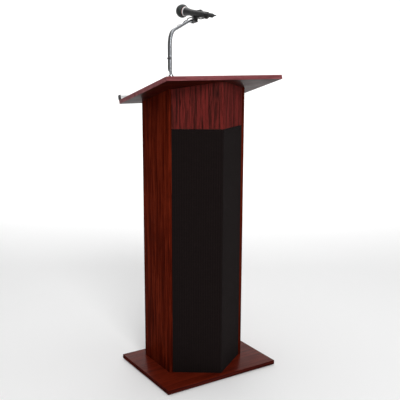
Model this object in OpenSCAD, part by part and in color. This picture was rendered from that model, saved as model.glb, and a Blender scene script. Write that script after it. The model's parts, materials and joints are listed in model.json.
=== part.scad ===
// Lectern with a built-in sound system: a pointed column of mahogany boards on a flat base,
// a sloped reading top, a cloth-covered loudspeaker front and a gooseneck microphone.
// Frame: X to the right seen by the audience, -Y towards the audience, +Y towards the
// speaker, +Z up. The origin is on the floor, under the centre of the base.

/* [Boards] */
// Thickness of the mahogany boards
board_t = 16; // [15:0.5:18]
// Width of the base plate
base_w = 500; // [480:5:560]
// Depth of the base plate
base_d = 382; // [370:1:420]
// Height of the floor glides
glide_h = 3; // [2:0.5:5]
// Outer width of the column across its side panels
column_w = 340; // [330:1:360]
// Depth of each side panel
side_d = 205; // [195:1:215]
// Distance from the front edge of the base to the front of the side panels
column_setback = 126.5; // [124:0.5:130]
// How far the pointed front stands out ahead of the side panels
prow_depth = 107.5; // [104:0.5:110]
// Width of each side panel's front edge that stays in view
edge_reveal = 11.6; // [10:0.2:13]

/* [Reading top] */
// Width of the reading top
top_w = 500; // [480:5:560]
// Length of the reading top along its slope
top_len = 382; // [376:1:390]
// Fall of the reading top towards the speaker, in degrees
top_slope = 15; // [13:0.5:17]
// Height of the top's upper front edge above the floor
lectern_h = 1171; // [1165:1:1180]
// Height of the book stop above the reading surface
stop_h = 17; // [12:1:25]

/* [Loudspeaker front] */
// Height of the grille's upper edge above the floor
grille_top = 977; // [960:1:985]
// Height of the loudspeakers' centres above the floor
speaker_z = 760; // [735:5:800]
// Radius of the loudspeaker's opening in its board
speaker_hole_r = 59.5; // [55:0.5:60]

/* [Shelves and amplifier] */
// Height of the storage shelf's underside above the floor
shelf_z = 560; // [300:10:700]
// Height of the amplifier shelf's underside above the floor
amp_shelf_z = 929; // [915:1:935]
// Width of the amplifier's chassis
amp_w = 290; // [270:5:300]
// Height of the control panel
panel_h = 110; // [100:1:114]

/* [Gooseneck] */
// Distance of the gooseneck from the lectern's centre plane
neck_x = -205; // [-215:1:-200]
// Position of the gooseneck's upright in Y
neck_y = -143; // [-150:1:-135]
// Heading of the gooseneck's arch, in degrees from +X towards +Y
neck_heading = 39.67; // [35:0.5:45]
// Radius of the flexible steel neck
neck_r = 5.25; // [4.5:0.25:6]
// Height of the lowest flexing point
flex_low_z = 1200; // [1198:1:1205]
// Height at which the neck starts to arch over
flex_mid_z = 1275; // [1260:1:1290]
// Radius of the arch
arch_r = 54; // [50:1:60]
// Climb of the neck after its arch, in degrees
neck_climb = 13; // [10:0.5:15]
// Length of the straight stretch after the arch
neck_reach = 140; // [130:1:145]

/* [Microphone] */
// Heading of the microphone, in degrees from +Y towards -X
mic_heading = 10; // [0:1:20]
// Upward tilt of the microphone, in degrees
mic_tilt = 8; // [4:1:12]
// Height of the microphone's axis above the clip's pivot
mic_rise = 20; // [20:0.5:24]
// Distance from the clip's pivot to the centre of the microphone's head
head_y = 75; // [74:1:80]
// Radius of the microphone's round head
head_r = 25.5; // [24:0.5:26]

/* [Hidden] */
$fn = 48;

mahogany = [0.30, 0.09, 0.07];
black_cloth = [0.10, 0.09, 0.09];
cut = 0.5;

// Column
base_top = glide_h + board_t;
column_front = column_setback - base_d / 2;
column_back = column_front + side_d;
half_front = column_w / 2 - edge_reveal;
ridge_y = column_front - prow_depth;
facet_angle = atan2(prow_depth, half_front);
facet_len = norm([half_front, prow_depth]);
inner_half = column_w / 2 - board_t;
top_front = -base_d / 2;
cloth_t = 1;
frame_t = 8;
frame_w = 25;
baffle_depth = cloth_t + frame_t;
baffle_t = 12;
chamber_front = -20;
chamber_t = 12;
shelf_front = chamber_front + chamber_t;
shelf_back = column_back - 10.5;
cleat_w = 20;
stiff_climb = board_t / cos(top_slope);

// Loudspeakers
speaker_u = facet_len / 2;
flange_r = 67;
speaker_rail = grille_top - 315;

// Amplifier
amp_front = 2;
sheet_t = 1.5;
amp_z = amp_shelf_z + board_t;
panel_y = 112;
panel_t = 3;
control_z = amp_z + 55;
knob_xs = [40, 0, -40];
jack_xs = [120, 90];
rear_jack = [-120, amp_z + 75];
lead_hole = [40, amp_z + 45];
inlet_x = -118;
rocker_x = -78;

// Gooseneck
foot_arc_r = 150;
level_arc_r = 220;
neck_tip = 12;
arch_end = [arch_r * (1 - sin(neck_climb)), flex_mid_z + arch_r * cos(neck_climb)];
level_start = arch_end + neck_reach * [cos(neck_climb), sin(neck_climb)];
neck_end = level_start + [level_arc_r * sin(neck_climb) + neck_tip,
                          level_arc_r * (1 - cos(neck_climb))];
pivot_s = neck_end[0] + 26.3;
pivot = [neck_x + pivot_s * cos(neck_heading), neck_y + pivot_s * sin(neck_heading),
         neck_end[1] + 12.2];
flex_gap = 1.5;
flex_turn = 1.6;
flex_ball_r = 4;
groove = 0.2;
cable_r = 2.2;
cable_side = neck_r + cable_r + 0.35;

// Microphone
tail_y = -70;
collar_front = 60.1;
plug_y = -94;
grip_r = 11.6;
ear_r = 6.3;
cradle_back = -64;
cradle_front = 20;
head_cut = acos((head_y - collar_front) / head_r);
head_wall = 1.5;

// ---- Places ----

// Height of the top's upper surface and of its underside at a given depth
function surface_z(y) = lectern_h - (y - top_front) * tan(top_slope);
function underside_z(y) = surface_z(y) - stiff_climb;

// Outline, seen from above, of the left front facet between two depths behind its face
function facet_plan(d0, d1) = [
    [-(half_front - d0 / sin(facet_angle)), column_front],
    [0, ridge_y + d0 / cos(facet_angle)],
    [0, ridge_y + d1 / cos(facet_angle)],
    [-(half_front - d1 / sin(facet_angle)), column_front]
];

// Local frame of the reading top: Y runs down the slope, Z stands off the surface
module on_top() translate([0, top_front, lectern_h]) rotate([-top_slope, 0, 0]) children();

// Local frame of the left front facet: X from the ridge outwards, -Y into the column
module on_facet() translate([0, ridge_y, 0]) rotate([0, 0, 180 - facet_angle]) children();

// Local frame of the gooseneck: X along the arch's heading
module on_neck() translate([neck_x, neck_y, 0]) rotate([0, 0, neck_heading]) children();

// Local frame of the microphone: Y from tail to head, origin on the clip's pivot
module on_clip() translate(pivot) rotate([0, 0, mic_heading]) children();
module on_mic() on_clip() rotate([mic_tilt, 0, 0]) children();

module both_sides() {
    children();
    mirror([1, 0, 0]) children();
}

// Everything above the underside of the reading top
module above_underside() on_top() translate([-top_w, -top_len, -board_t])
    cube([2 * top_w, 3 * top_len, 2 * top_len]);

module box(low, high) translate(low) cube(high - low);

// Cylinder along +Y
module rod_y(r, y0, y1, x = 0, z = 0) translate([x, y0, z]) rotate([-90, 0, 0])
    cylinder(h = y1 - y0, r = r);

// Cylinder along +X
module rod_x(r, x0, x1, y = 0, z = 0) translate([x0, y, z]) rotate([0, 90, 0])
    cylinder(h = x1 - x0, r = r);

// Countersunk screw with its head's face at z = 0, pointing down
module screw(head_r, shank_r, len) {
    translate([0, 0, -head_r + shank_r]) cylinder(h = head_r - shank_r, r1 = shank_r, r2 = head_r);
    translate([0, 0, -len]) cylinder(h = len - head_r + shank_r, r = shank_r);
}

// ---- Column ----

module base_plate() color(mahogany) difference() {
    box([-base_w / 2, -base_d / 2, glide_h], [base_w / 2, base_d / 2, base_top]);
    at_glides() translate([0, 0, glide_h]) cylinder(h = 8.5, r = 3.1);
    at_base_screws() mirror([0, 0, 1]) screw_hole();
}

module screw_hole() {
    translate([0, 0, -0.6]) screw(5.6, 2.6, 60);
    translate([0, 0, -0.7]) cylinder(h = 2, r = 5.6);
}

module at_glides() for (x = [-1, 1], y = [-1, 1])
    translate([x * (base_w / 2 - 32), y * (base_d / 2 - 32), 0]) children();

module floor_glides() color("dimgray") at_glides() {
    cylinder(h = glide_h, r = 12);
    translate([0, 0, glide_h]) cylinder(h = 8, r = 3);
}

// Places of the screws that hold the side panels to the base
module at_base_screws() both_sides() for (y = [column_front + 35, column_back - 35])
    translate([-inner_half - board_t / 2, y, glide_h]) children();

module base_screws() color("silver") at_base_screws()
    translate([0, 0, 0.3]) mirror([0, 0, 1]) screw(5.4, 2.5, 50);

module left_side_panel() color(mahogany) difference() {
    box([-column_w / 2, column_front, base_top], [-inner_half, column_back, lectern_h]);
    above_underside();
    at_base_screws() mirror([0, 0, 1]) screw_hole();
}

module right_side_panel() mirror([1, 0, 0]) left_side_panel();

module left_apron_board() color(mahogany) difference() {
    translate([0, 0, grille_top]) linear_extrude(lectern_h - grille_top) polygon(facet_plan(0, board_t));
    above_underside();
}

module right_apron_board() mirror([1, 0, 0]) left_apron_board();

module left_baffle_board() color("tan") difference() {
    translate([0, 0, base_top]) linear_extrude(grille_top - base_top)
        polygon(facet_plan(baffle_depth, baffle_depth + baffle_t));
    on_facet() rod_y(speaker_hole_r, -60, 0, speaker_u, speaker_z);
    at_speaker_screws() rod_y(1.8, -18, 0);
}

module right_baffle_board() mirror([1, 0, 0]) left_baffle_board();

module at_speaker_screws() on_facet() translate([speaker_u, 0, speaker_z])
    for (a = [45:90:315]) rotate([0, a, 0]) translate([63, 0, 0]) children();

// Rails and stiles that carry the cloth over both facets
module grille_frame() color("black") both_sides() difference() {
    translate([0, 0, base_top]) linear_extrude(grille_top - base_top - 2)
        polygon(facet_plan(cloth_t, baffle_depth));
    on_facet() for (z = [[base_top + frame_w, speaker_rail - frame_w], [speaker_rail, grille_top - 27]])
        box([frame_w, -40, z[0]], [facet_len - frame_w, 10, z[1]]);
}

module grille_cloth() color(black_cloth) translate([0, 0, base_top + 0.3])
    linear_extrude(grille_top - base_top - 1.3) union() {
        polygon(facet_plan(0, cloth_t));
        mirror([1, 0]) polygon(facet_plan(0, cloth_t));
    }

// Upright battens in the two front corners and behind the ridge
module corner_cleats() color("burlywood") {
    both_sides() difference() {
        box([-inner_half, column_front, base_top],
            [cleat_w - inner_half, column_front + cleat_w, lectern_h]);
        above_underside();
    }
    ridge_cleat(12, baffle_depth + baffle_t, base_top, grille_top);
    ridge_cleat(cleat_w, board_t, grille_top, lectern_h);
}

module ridge_cleat(size, depth, z0, z1) difference() {
    translate([0, ridge_y + depth / cos(facet_angle), z0]) linear_extrude(z1 - z0)
        polygon([[0, 0], [size / tan(facet_angle), size], [-size / tan(facet_angle), size]]);
    above_underside();
}

module chamber_panel() color("burlywood") difference() {
    box([-inner_half, chamber_front, base_top], [inner_half, shelf_front, lectern_h]);
    above_underside();
    rod_y(10, chamber_front - 1, shelf_front + 1, rear_jack[0], rear_jack[1]);
    both_sides() rod_y(6, chamber_front - 1, shelf_front + 1, lead_hole[0], lead_hole[1]);
}

module storage_shelf() color(mahogany)
    box([-inner_half, shelf_front, shelf_z], [inner_half, shelf_back, shelf_z + board_t]);

module amplifier_shelf() color(mahogany)
    box([-inner_half, shelf_front, amp_shelf_z], [inner_half, shelf_back, amp_shelf_z + board_t]);

// Battens that join the side panels to the reading top
module top_cleats() color("burlywood") both_sides() difference() {
    box([-inner_half, shelf_front, 1000], [8 - inner_half, panel_y - 1, lectern_h]);
    above_underside();
    on_top() translate([0, 0, -board_t - cleat_w]) mirror([0, 0, 1]) translate([-top_w, 0, 0])
        cube([2 * top_w, 2 * top_len, 2 * cleat_w]);
}

// ---- Reading top ----

module top_panel() color(mahogany) difference() {
    on_top() box([-top_w / 2, 0, -board_t], [top_w / 2, top_len, 0]);
    at_grommet() translate([0, 0, -board_t - 1]) cylinder(h = board_t + 2, r = 7);
    at_book_stop_screws() translate([0, 0, -14]) cylinder(h = 20, r = 1.7);
    at_flange_screws() translate([0, 0, -13]) cylinder(h = 20, r = 1.7);
}

// Aluminium angle along the low edge
module book_stop() color("silver") difference() {
    on_top() union() {
        box([1 - top_w / 2, top_len - 18, 0], [top_w / 2 - 1, top_len + 1, 2]);
        box([1 - top_w / 2, top_len - 1.5, 0], [top_w / 2 - 1, top_len + 1, stop_h]);
    }
    at_book_stop_screws() translate([0, 0, 2.2]) screw(3.6, 1.75, 20);
}

module at_book_stop_screws() on_top() for (x = [-180, -60, 60, 180])
    translate([x, top_len - 10, 0]) children();

module book_stop_screws() color("silver") at_book_stop_screws()
    translate([0, 0, 1.9]) screw(3.3, 1.6, 15);

module book_stop_end_caps() color("black") both_sides() on_top()
    box([-top_w / 2 - 1, top_len - 19, 0], [1 - top_w / 2, top_len + 1.5, stop_h + 0.5]);

// ---- Loudspeakers ----

// Turned shape about a loudspeaker's axis; the outline is [radius, depth behind the facet]
module speaker_turned(outline) on_facet() translate([speaker_u, 0, speaker_z])
    rotate([90, 0, 0]) rotate_extrude($fn = 96) polygon(outline);

module speaker_baskets() color("dimgray") both_sides() difference() {
    speaker_turned([
        [51, 6], [flange_r, 6], [flange_r, 9], [58, 9], [56, 30], [36, 48], [36, 51], [12, 51], [12, 48],
        [33, 48], [53, 29], [55, 9], [51, 9]
    ]);
    at_speaker_screws() rod_y(2.2, -12, 0);
    on_facet() translate([speaker_u, -36, speaker_z]) for (a = [0:60:300]) rotate([0, a, 0])
        translate([49, 0, 0]) rotate([90, 0, 0]) cylinder(h = 16, r = 11, center = true);
}

module speaker_cones() color("black") both_sides()
    speaker_turned([
        [0, 20], [12, 24], [48, 8], [50.5, 6.5], [50.5, 9], [48, 10], [12, 27], [12, 44], [11, 44],
        [11, 27], [0, 22]
    ]);

module speaker_magnets() color("gray") both_sides()
    speaker_turned([[0, 46], [9, 46], [9, 51.2], [38, 51.2], [38, 68], [0, 68]]);

module speaker_screws() color("dimgray") both_sides() at_speaker_screws()
    translate([0, -4.5, 0]) rotate([90, 0, 0]) {
        cylinder(h = 1.5, r = 4);
        cylinder(h = 12, r = 1.7);
    }

// Leads from the loudspeakers through the chamber panel to the amplifier
speaker_lead_route = [
    [-40, -62, speaker_z + 39], [-40, -60, speaker_z + 90], [-42, -52, lead_hole[1] - 80],
    [-42, -44, lead_hole[1] - 30], [-40, -34, lead_hole[1] - 6], [-40, -20, lead_hole[1]],
    [-40, amp_front, lead_hole[1]]
];
module speaker_leads() color("black") both_sides() tube(smooth_route(speaker_lead_route, 3), 2, 8);

// ---- Amplifier ----

// Folded steel tray with a block behind each panel screw
module amplifier_chassis() color("gray") difference() {
    union() {
        difference() {
            box([-amp_w / 2, amp_front, amp_z], [amp_w / 2, panel_y, amp_z + panel_h - 12]);
            box([sheet_t - amp_w / 2, amp_front + sheet_t, amp_z + sheet_t],
                [amp_w / 2 - sheet_t, panel_y + 1, amp_z + panel_h - 12 - sheet_t]);
        }
        at_panel_screws() box([-4.5, -12, -5], [4.5, 0, 5]);
    }
    at_panel_screws() rod_y(2.1, -10, 1);
    rod_y(5.2, 0, 8, rear_jack[0], rear_jack[1]);
}

module circuit_board() color("darkgreen") {
    box([-60, 20, amp_z + 8], [130, 92, amp_z + 9.6]);
    for (x = [-40, 0, 120], y = [30, 82]) translate([x, y, amp_z + 1.5]) cylinder(h = 6.5, r = 3);
    for (x = [20, 45, 70]) translate([x, 36, amp_z + 9.6]) cylinder(h = 28, r = 9);
    box([92, 24, amp_z + 9.6], [124, 44, amp_z + 40]);
}

module power_transformer() color("darkgoldenrod") {
    box([-112, 26, amp_z + 1.5], [-72, 76, amp_z + 46]);
    box([-120, 36, amp_z + 8], [-112, 66, amp_z + 40]);
    box([-72, 36, amp_z + 8], [-64, 66, amp_z + 40]);
}

module control_panel() color("dimgray") difference() {
    box([-150, panel_y, amp_z], [150, panel_y + panel_t, amp_z + panel_h]);
    for (x = knob_xs) rod_y(4.6, panel_y - 1, panel_y + 9, x, control_z);
    for (x = jack_xs) rod_y(5.2, panel_y - 1, panel_y + 9, x, control_z);
    rod_y(2.6, panel_y - 1, panel_y + 9, rocker_x, control_z + 26);
    at_rocker() box([-8.1, -30, -11.1], [8.1, 10, 11.1]);
    at_inlet() box([-12.1, -30, -9.1], [12.1, 10, 9.1]);
    at_panel_screws() rod_y(2.2, -1, 9);
}

module at_rocker() translate([rocker_x, panel_y + panel_t, control_z]) children();
module at_inlet() translate([inlet_x, panel_y + panel_t, control_z]) children();
module at_panel_screws() for (x = [5 - amp_w / 2, amp_w / 2 - 5], z = [amp_z + 12, amp_z + panel_h - 24])
    translate([x, panel_y, z]) children();

module panel_screws() color("silver") at_panel_screws() {
    rod_y(2, -8, panel_t);
    difference() {
        rod_y(4, panel_t, panel_t + 2);
        box([-3, panel_t + 1.2, -0.5], [3, panel_t + 3, 0.5]);
    }
}

// Knob on its own shaft; the shaft turns in the potentiometer's bush
module knob(x) color("black") translate([x, panel_y + panel_t, control_z]) difference() {
    union() {
        rod_y(3, -18, 8);
        rod_y(12.5, 7.5, 10);
        rod_y(10, 10, 22);
    }
    for (a = [0:30:330]) rotate([0, a, 0]) rod_y(0.9, 11, 30, 10.3);
    box([-0.6, 21, 2], [0.6, 30, 10.5]);
}

module microphone_volume_knob() knob(knob_xs[0]);
module auxiliary_volume_knob() knob(knob_xs[1]);
module tone_knob() knob(knob_xs[2]);

module potentiometers() color("silver") for (x = knob_xs) difference() {
    union() {
        rod_y(8.5, panel_y - 14, panel_y - 1, x, control_z);
        rod_y(4.5, panel_y - 1.5, panel_y + panel_t + 5, x, control_z);
        translate([x, panel_y + panel_t, control_z]) rotate([-90, 0, 0]) cylinder(h = 2, r = 6.5, $fn = 6);
    }
    rod_y(3.06, panel_y - 16, panel_y + 20, x, control_z);
}

module power_switch_frame() color("black") at_rocker() difference() {
    union() {
        box([-10, 0, -13], [10, 2, 13]);
        box([-8, -20, -11], [8, 1, 11]);
    }
    box([-6.5, -17, -8.6], [6.5, 10, 8.6]);
    rod_x(1.55, -7.6, 7.6, -3);
}

// Rocker on its two trunnions, with two faces that meet in a shallow V
module power_rocker() color("darkred") at_rocker() translate([0, -3, 0]) rotate([7, 0, 0]) union() {
    difference() {
        rod_x(8.2, -6.2, 6.2);
        for (s = [-1, 1]) rotate([s * 7, 0, 0]) box([-7, 5.5, s > 0 ? 0 : -12], [7, 12, s > 0 ? 12 : 0]);
        box([-7, -12, -12], [7, -5, 12]);
    }
    rod_x(1.5, -7.3, 7.3);
}

module power_lamp() color("red") {
    rod_y(2.5, panel_y - 6, panel_y + panel_t + 1, rocker_x, control_z + 26);
    translate([rocker_x, panel_y + panel_t + 1, control_z + 26]) sphere(r = 2.5, $fn = 32);
}

// Quarter-inch sockets: two on the control panel, one at the back for the gooseneck lead
module input_jacks() color("silver") {
    for (x = jack_xs) difference() {
        union() {
            rod_y(5, panel_y - 24, panel_y + panel_t + 3, x, control_z);
            rod_y(8, panel_y - 24, panel_y - 0.2, x, control_z);
            translate([x, panel_y + panel_t, control_z]) rotate([-90, 0, 0])
                cylinder(h = 2.2, r = 7.5, $fn = 6);
        }
        rod_y(3.25, panel_y - 22, panel_y + 20, x, control_z);
    }
    difference() {
        union() {
            rod_y(5, amp_front - 3, amp_front + 28, rear_jack[0], rear_jack[1]);
            rod_y(8, amp_front + 1.5, amp_front + 28, rear_jack[0], rear_jack[1]);
        }
        rod_y(3.25, -10, amp_front + 26, rear_jack[0], rear_jack[1]);
    }
}

// Mains inlet with its three flat pins
module power_inlet() color("black") at_inlet() {
    difference() {
        union() {
            box([-14, 0, -11], [14, 2.5, 11]);
            box([-12, -22, -9], [12, 1, 9]);
        }
        box([-10.5, -16, -7], [10.5, 10, 7]);
    }
    for (p = [[-6, -2], [0, 2.5], [6, -2]]) translate([p[0] - 1, -18, p[1] - 2]) cube([2, 13, 4]);
}

// ---- Gooseneck ----

// Where the upright's foot meets the reading top, in the top's own frame
foot_local = [neck_x, (neck_y - 5.2 - top_front) / cos(top_slope)];

module at_foot() on_top() translate([foot_local[0], foot_local[1], 0]) children();
module at_flange_screws() at_foot() for (a = [90:120:330]) rotate([0, 0, a])
    translate([13, 0, 0]) children();

module gooseneck_flange() color("silver") difference() {
    at_foot() union() {
        cylinder(h = 4, r = 18);
        cylinder(h = 14, r = 8.5);
    }
    at_foot() translate([0, 0, 1.5]) cylinder(h = 20, r = neck_r + 1.2);
    at_flange_screws() translate([0, 0, 4.2]) screw(3.6, 1.75, 20);
}

module flange_screws() color("silver") at_flange_screws() translate([0, 0, 3.9]) screw(3.3, 1.6, 15);

// Bent tube that starts at the origin along +Z and curves towards +X
module arc_tube(bend_r, a0, a1, r) translate([bend_r, 0, 0]) rotate([90, 0, 0]) rotate([0, 0, 180 - a1])
    rotate_extrude(angle = a1 - a0) translate([bend_r, 0]) circle(r = r);

// Ball on a short stalk at the end of a neck stretch, at the origin and pointing along +Z
module flex_ball() {
    sphere(r = flex_ball_r);
    translate([0, 0, -flex_gap - 1]) cylinder(h = flex_gap + 1, r = 2.5);
}

// Room for the ball in the start of the next stretch
module flex_socket() sphere(r = flex_ball_r + 0.3);

module at_arch_end() translate([arch_end[0], 0, arch_end[1]]) rotate([0, 90 - neck_climb, 0]) children();

// Foot of the neck: leaves the top square to its surface and curves to the upright
module neck_foot() color("silver") translate([neck_x, neck_y, flex_low_z]) {
    rotate([0, 0, -90]) mirror([0, 0, 1]) arc_tube(foot_arc_r, 0.6, 14, neck_r);
    flex_ball();
}

module neck_lower() color("silver") on_neck() {
    difference() {
        translate([0, 0, flex_low_z + flex_gap])
            cylinder(h = flex_mid_z - flex_low_z - 2 * flex_gap, r = neck_r);
        translate([0, 0, flex_low_z]) flex_socket();
    }
    translate([0, 0, flex_mid_z]) flex_ball();
}

module neck_bend() color("silver") on_neck() {
    difference() {
        translate([0, 0, flex_mid_z]) arc_tube(arch_r, flex_turn, 90 - neck_climb - flex_turn, neck_r);
        translate([0, 0, flex_mid_z]) flex_socket();
    }
    at_arch_end() flex_ball();
}

// Its three stretches are held together by a thinner core that shows in a fine groove
module neck_upper() color("silver") on_neck() {
    at_arch_end() {
        difference() {
            translate([0, 0, flex_gap]) cylinder(h = neck_reach - flex_gap - groove, r = neck_r);
            flex_socket();
        }
        translate([0, 0, neck_reach - 4]) cylinder(h = 8, r = neck_r - 0.8);
    }
    translate([level_start[0], 0, level_start[1]]) rotate([0, 90 - neck_climb, 0])
        arc_tube(level_arc_r, 0, neck_climb, neck_r);
    rod_x(neck_r - 0.8, neck_end[0] - neck_tip - 4, neck_end[0] - neck_tip + 4, 0, neck_end[1]);
    rod_x(neck_r, neck_end[0] - neck_tip + groove, neck_end[0], 0, neck_end[1]);
}

// ---- Microphone clip ----

// Knuckle at the neck's end: a socket on the neck and two ears about the tilt axis
module clip_yoke() color("dimgray") difference() {
    union() {
        on_neck() rod_x(7.5, neck_end[0] - 14, neck_end[0] + 10, 0, neck_end[1]);
        translate(pivot) rotate([0, 0, neck_heading]) box([-22, -6, -16], [0, 6, -8.5]);
        on_clip() box([-9, -7, -14], [9, 7, -8.5]);
        on_clip() both_sides() {
            rod_x(ear_r, 5.2, 9);
            box([5.2, -ear_r, -14], [9, ear_r, 0]);
        }
    }
    on_neck() rod_x(neck_r + 0.05, neck_end[0] - 20, neck_end[0] + 0.05, 0, neck_end[1]);
    on_clip() rod_x(2.1, -20, 20);
    on_clip() rod_x(7.3, -5.2, 5.2);
}

// Pivot screw with a slotted head and a winged nut
module clip_pivot_screw() color("silver") on_clip() {
    rod_x(2, -9, 14);
    rod_x(4, -11.5, -9);
    rod_x(4, 9, 13);
    box([9.6, -10, -1.6], [12, 10, 1.6]);
}

module clip_cradle() color("black") on_mic() difference() {
    union() {
        rod_y(14.3, cradle_back, cradle_front, 0, mic_rise);
        rod_y(15.6, cradle_back, cradle_back + 3, 0, mic_rise);
        rod_x(6.5, -4.8, 4.8);
        rotate([90, 0, 90]) translate([0, 0, -4.8]) linear_extrude(9.6)
            polygon([[6.4, -1], [14, 9], [-32, 9], [-6, -2]]);
    }
    rod_y(grip_r + 0.3, cradle_back - 1, cradle_front + 1, 0, mic_rise);
    box([-20, cradle_back - 1, mic_rise + 4], [20, cradle_front + 1, mic_rise + 20]);
    rod_x(2.06, -6, 6);
}

// ---- Microphone ----

// Turned shape about the microphone's axis; the outline is [radius, place along the axis]
module mic_turned(outline) on_mic() translate([0, 0, mic_rise]) rotate([-90, 0, 0])
    rotate_extrude($fn = 72) polygon(outline);

module mic_body() color("dimgray") {
    mic_turned([
        [0, tail_y], [10, tail_y], [11, tail_y + 2], [grip_r, 20], [12.6, 30], [15.4, 48], [16.4, 54],
        [14.4, 54], [13.4, 48], [10.6, 30], [9.6, 20], [9, tail_y + 2], [0, tail_y + 2]
    ]);
    on_mic() difference() {
        box([-5, -38, mic_rise + 10], [5, -12, mic_rise + 13.2]);
        rod_y(grip_r - 1, -40, -10, 0, mic_rise);
    }
}

module mic_switch() color("silver") on_mic()
    box([-2.6, -31, mic_rise + 13.4], [2.6, -24, mic_rise + 15.4]);

module mic_collar_ring() color("white")
    mic_turned([[14, 54.1], [17, 54.1], [18.6, 55], [18.6, 59.4], [17, 60], [14, 60]]);

// Round wire-mesh head, open where the collar closes it
module mic_head_grille() color("dimgray") on_mic() translate([0, head_y, mic_rise]) rotate([-90, 0, 0])
    rotate_extrude($fn = 96) polygon([
        for (i = [0:24]) let (a = i * (180 - head_cut) / 24) head_r * [sin(a), cos(a)],
        for (i = [24:-1:0]) let (a = i * (180 - head_cut) / 24) (head_r - head_wall) * [sin(a), cos(a)]
    ]);

// Angled plug: its outlet points away from the audience's left
module mic_plug() color("black") on_mic() {
    rod_y(8, plug_y, tail_y - 0.1, 0, mic_rise);
    translate([0, plug_y, mic_rise]) rotate([90, 0, 0]) cylinder(h = 5, r1 = 8, r2 = 5);
    translate([0, plug_y + 8, mic_rise]) rotate([0, 90, 0]) {
        cylinder(h = 13, r = 5);
        translate([0, 0, 13]) cylinder(h = 7, r1 = 4.2, r2 = 2.9);
    }
}

// ---- Microphone lead ----

function unit(v) = v / norm(v);

// Point between b and c on the smooth curve through a, b, c and d
function between(a, b, c, d, t) = 0.5 * (2 * b + (c - a) * t + (2 * a - 5 * b + 4 * c - d) * t * t
    + (3 * b - a - 3 * c + d) * t * t * t);

// Smooth route through the given points, with a number of steps between neighbours
function smooth_route(p, steps) = [
    for (i = [0:len(p) - 2], k = [0:steps - 1])
        between(p[max(i - 1, 0)], p[i], p[i + 1], p[min(i + 2, len(p) - 1)], k / steps),
    p[len(p) - 1]
];

function tangents(p) = [for (i = [0:len(p) - 1]) unit(p[min(i + 1, len(p) - 1)] - p[max(i - 1, 0)])];
function square_to(v, t) = unit(v - (v * t) * t);

// Side directions along a route, carried forward so that the tube doesn't twist
function side_rays(t) = [
    for (i = 0, s = square_to(abs(t[0][0]) < 0.8 ? [1, 0, 0] : [0, 1, 0], t[0]); i < len(t);
        i = i + 1, s = i < len(t) ? square_to(s, t[i]) : s) s
];

// Closed tube swept along a route
module tube(p, r, sides) {
    t = tangents(p);
    s = side_rays(t);
    rings = [for (i = [0:len(p) - 1], k = [0:sides - 1])
        p[i] + r * (cos(360 * k / sides) * s[i] + sin(360 * k / sides) * cross(t[i], s[i]))];
    walls = [for (i = [0:len(p) - 2], k = [0:sides - 1])
        [i * sides + k, i * sides + (k + 1) % sides,
         (i + 1) * sides + (k + 1) % sides, (i + 1) * sides + k]];
    first = [for (k = [sides - 1:-1:0]) k];
    last = [for (k = [0:sides - 1]) (len(p) - 1) * sides + k];
    polyhedron(rings, concat(walls, [first, last]));
}

function turn_z(a, p) = [p[0] * cos(a) - p[1] * sin(a), p[0] * sin(a) + p[1] * cos(a), p[2]];
function at_clip(p) = pivot + turn_z(mic_heading, p);
function at_neck(s, side, z) = [neck_x, neck_y, 0] + turn_z(neck_heading, [s, side, z]);
function climb_z(s) = arch_end[1] + (s - arch_end[0]) * tan(neck_climb);

// From the lowest flexing point down round the neck's foot, over the reading surface, through
// the grommet and down inside the column to the plug
run_route = [
    at_neck(0, cable_side, flex_low_z - 1.5), [-208.5, -136, 1191], [-203.5, -135.5, 1183],
    [-195, -138, 1173], [-187, -138, 1163], [-180, -132, 1158], [-168, -117, 1153.8],
    [-150, -90, 1146.5], [-136, -68, 1141], [-128, -56, 1146], [-122, -49.5, 1147.5],
    [-120, -48.5, 1139], [-120, -51.5, 1127], [-120, -55.5, 1112],
    [-120, -56, 1085], [-120, -54, 1056], [-120, -49, rear_jack[1] + 14], [-120, -42, rear_jack[1] + 3],
    [-120, -34, rear_jack[1]]
];

// From the arch's end along the neck, then in a loose bow to the clip's tilt axis
upper_route = [
    for (s = [arch_end[0] + 1.4, 60, 90, 120, 150]) at_neck(s, cable_side, climb_z(s)),
    at_neck(176, 11, 1361.5), at_neck(204, 19, 1363.5), at_neck(229, 25, 1367), at_clip([-16, 26, -6]),
    at_clip([-5, 35, 0]), at_clip([6, 36, 4]), at_clip([16, 30, 5]), at_clip([22, 20, 3.5]),
    at_clip([24, 9, 1.3]), at_clip([24, 1.3, 0.2])
];

// From the tilt axis along the far side of the microphone to its plug, in the microphone's frame
tail_route = [
    [24, -1.3, -0.2], [24, -9, 0.5], [25, -24, 5], [27, -42, 12], [29, -60, 17.5], [29, -74, 19.5],
    [26.5, plug_y + 9.5, 20], [23, plug_y + 8, 20], [20.2, plug_y + 8, 20]
];

module cable_run() color("black") tube(smooth_route(run_route, 3), cable_r, 8);

module cable_lower() color("black")
    tube([for (i = [0:3]) at_neck(0, cable_side, flex_low_z + 1.5 + i * (flex_mid_z - flex_low_z - 3) / 3)],
        cable_r, 8);

module cable_bend() color("black")
    tube([for (i = [0:9]) let (a = flex_turn + i * (90 - neck_climb - 2 * flex_turn) / 9)
        at_neck(arch_r * (1 - cos(a)), cable_side, flex_mid_z + arch_r * sin(a))], cable_r, 8);

module cable_upper() color("black") tube(smooth_route(upper_route, 2), cable_r, 8);
module cable_tail() color("black") on_mic() tube(smooth_route(tail_route, 2), cable_r, 8);

module at_grommet() on_top() translate([-120, 146, 0]) children();

module cable_grommet() color("black") at_grommet() difference() {
    union() {
        cylinder(h = 2, r1 = 10, r2 = 8.5);
        translate([0, 0, -board_t]) cylinder(h = board_t, r = 6.95);
        translate([0, 0, -board_t - 2]) cylinder(h = 2, r = 10);
    }
    translate([0, 0, -board_t - 3]) cylinder(h = board_t + 6, r = 3);
}

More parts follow.
